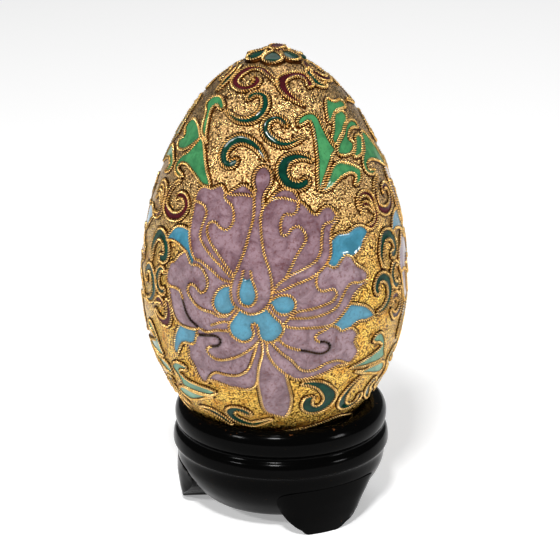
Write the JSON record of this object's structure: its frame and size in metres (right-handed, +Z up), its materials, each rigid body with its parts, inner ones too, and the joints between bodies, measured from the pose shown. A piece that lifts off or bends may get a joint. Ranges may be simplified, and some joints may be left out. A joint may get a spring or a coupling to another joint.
{
  "type": "cloisonne enamel egg on a turned stand",
  "caption": "Hollow egg in wired enamel with a repeated flower on a gilded ground, resting loose in the dish of a black lacquered round stand with bracket feet.",
  "frame": {"origin": "on the floor under the egg's own axis, at the centre of the object's outline seen from above", "axes": "+Z up along the egg's axis, -Y towards the flower that faces forward, +X to the viewer's right"},
  "size_m": [0.0495, 0.0497, 0.0895],
  "materials": {
    "black_lacquer": "high gloss black lacquer on turned wood",
    "copper": "spun copper, bare inside",
    "gilt": "gilded, rough grain on the ground and polished on the knob",
    "lilac_enamel": "opaque fired enamel, mottled lilac, polished",
    "blue_enamel": "opaque fired enamel, turquoise blue, polished",
    "green_enamel": "opaque fired enamel, leaf green, polished",
    "sea_green_enamel": "opaque fired enamel, pale sea green, polished"
  },
  "bodies": {
    "stand": {"stand_bowl": "black_lacquer", "foot_front_right": "black_lacquer", "foot_rear_right": "black_lacquer", "foot_left": "black_lacquer"},
    "egg": {"lower_shell": "copper", "upper_shell": "copper", "top_knob": "gilt", "gilded_ground": "gilt", "petal_centre_1": "lilac_enamel", "petal_upper_right_1": "lilac_enamel", "petal_upper_left_1": "lilac_enamel", "petal_side_left_1": "lilac_enamel", "petal_side_right_1": "lilac_enamel", "petal_lower_right_1": "lilac_enamel", "petal_lower_left_1": "lilac_enamel", "petal_bottom_1": "lilac_enamel", "blue_centre_1": "blue_enamel", "blue_leaf_upper_right_1": "blue_enamel", "blue_leaf_lower_right_1": "blue_enamel", "blue_leaf_upper_left_1": "blue_enamel", "blue_leaf_lower_left_1": "blue_enamel", "green_leaf_left_1": "green_enamel", "green_leaf_right_1": "green_enamel", "sea_leaf_left_1": "sea_green_enamel", "sea_leaf_right_1": "sea_green_enamel", "petal_centre_2": "lilac_enamel", "petal_upper_right_2": "lilac_enamel", "petal_upper_left_2": "lilac_enamel", "petal_side_left_2": "lilac_enamel", "petal_side_right_2": "lilac_enamel", "petal_lower_right_2": "lilac_enamel", "petal_lower_left_2": "lilac_enamel", "petal_bottom_2": "lilac_enamel", "blue_centre_2": "blue_enamel", "blue_leaf_upper_right_2": "blue_enamel", "blue_leaf_lower_right_2": "blue_enamel", "blue_leaf_upper_left_2": "blue_enamel", "blue_leaf_lower_left_2": "blue_enamel", "green_leaf_left_2": "green_enamel", "green_leaf_right_2": "green_enamel", "sea_leaf_left_2": "sea_green_enamel", "sea_leaf_right_2": "sea_green_enamel", "petal_centre_3": "lilac_enamel", "petal_upper_right_3": "lilac_enamel", "petal_upper_left_3": "lilac_enamel", "petal_side_left_3": "lilac_enamel", "petal_side_right_3": "lilac_enamel", "petal_lower_right_3": "lilac_enamel", "petal_lower_left_3": "lilac_enamel", "petal_bottom_3": "lilac_enamel", "blue_centre_3": "blue_enamel", "blue_leaf_upper_right_3": "blue_enamel", "blue_leaf_lower_right_3": "blue_enamel", "blue_leaf_upper_left_3": "blue_enamel", "blue_leaf_lower_left_3": "blue_enamel", "green_leaf_left_3": "green_enamel", "green_leaf_right_3": "green_enamel", "sea_leaf_left_3": "sea_green_enamel", "sea_leaf_right_3": "sea_green_enamel"}
  },
  "joints": [
    {"name": "egg_lift", "type": "slide", "parent": "stand", "child": "egg", "axis": [0, 0, 1], "range_m": [0, 0.1]}
  ]
}
